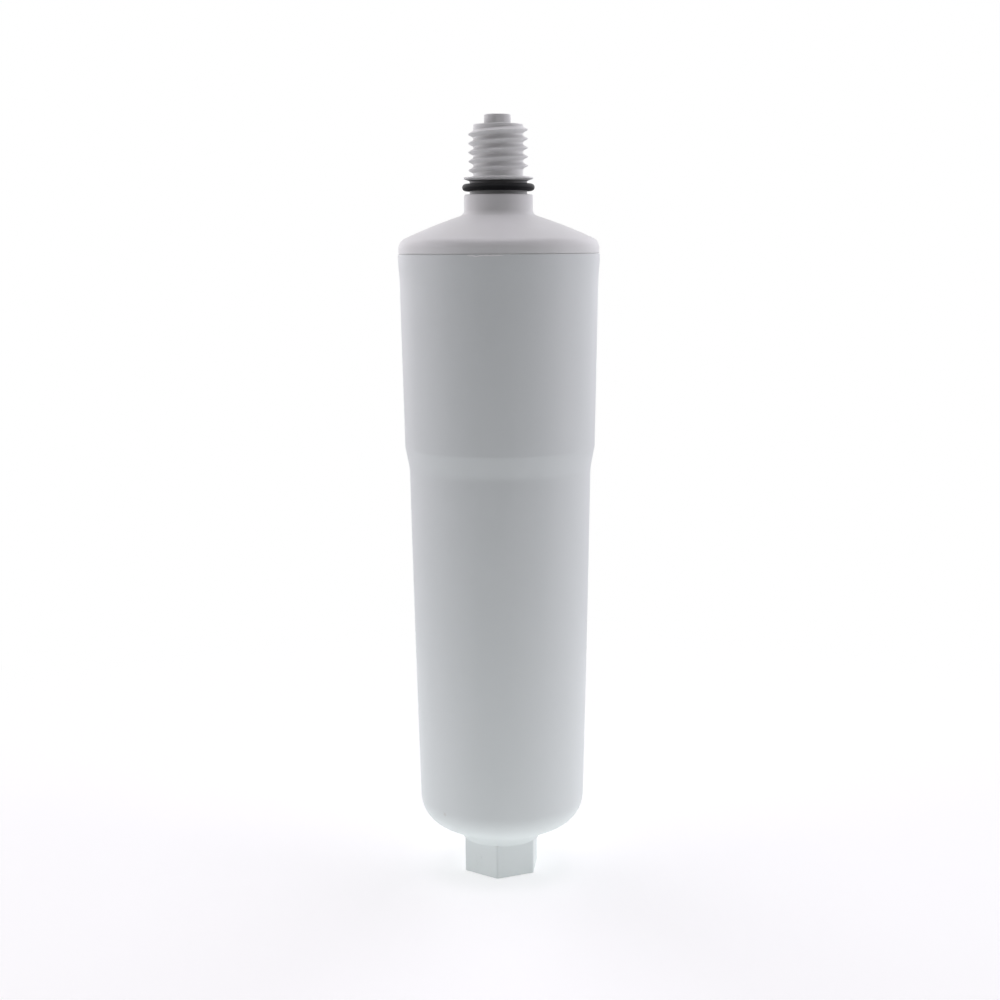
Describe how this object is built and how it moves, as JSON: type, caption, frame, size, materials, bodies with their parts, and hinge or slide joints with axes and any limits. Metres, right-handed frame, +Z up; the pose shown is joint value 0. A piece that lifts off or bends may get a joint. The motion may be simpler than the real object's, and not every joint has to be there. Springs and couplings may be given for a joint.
{
  "type": "water filter cartridge",
  "caption": "Upright sealed water filter cartridge: tapered, stepped housing with a hexagon end, domed shoulder, and a threaded neck with O-ring and outlet nipple; carbon block element inside.",
  "frame": {"origin": "centre of the hexagon's end face, on the cartridge's axis, where it stands", "axes": "+Z runs up the axis to the nipple; -X is the side where the first full thread crest starts, +Y points away from the viewer in the picture"},
  "size_m": [0.0535, 0.0534, 0.2057],
  "materials": {
    "housing_plastic": "off-white polypropylene, fine matt",
    "cap_plastic": "off-white polypropylene, fine matt",
    "seal_rubber": "black nitrile, soft sheen",
    "carbon": "sintered activated carbon with a polyethylene binder",
    "fleece": "melt-blown non-woven",
    "net_plastic": "extruded polyethylene net",
    "liner_plastic": "porous polyethylene",
    "end_cap_plastic": "natural polypropylene",
    "hot_melt": "amber hot-melt adhesive"
  },
  "bodies": {
    "root": {"housing": "housing_plastic", "top_cap": "cap_plastic", "neck_o_ring": "seal_rubber", "carbon_block": "carbon", "prefilter_wrap": "fleece", "outer_net": "net_plastic", "core_liner": "liner_plastic", "upper_end_cap": "end_cap_plastic", "lower_end_cap": "end_cap_plastic", "upper_bond": "hot_melt", "lower_bond": "hot_melt", "spigot_o_ring": "seal_rubber"}
  },
  "joints": []
}
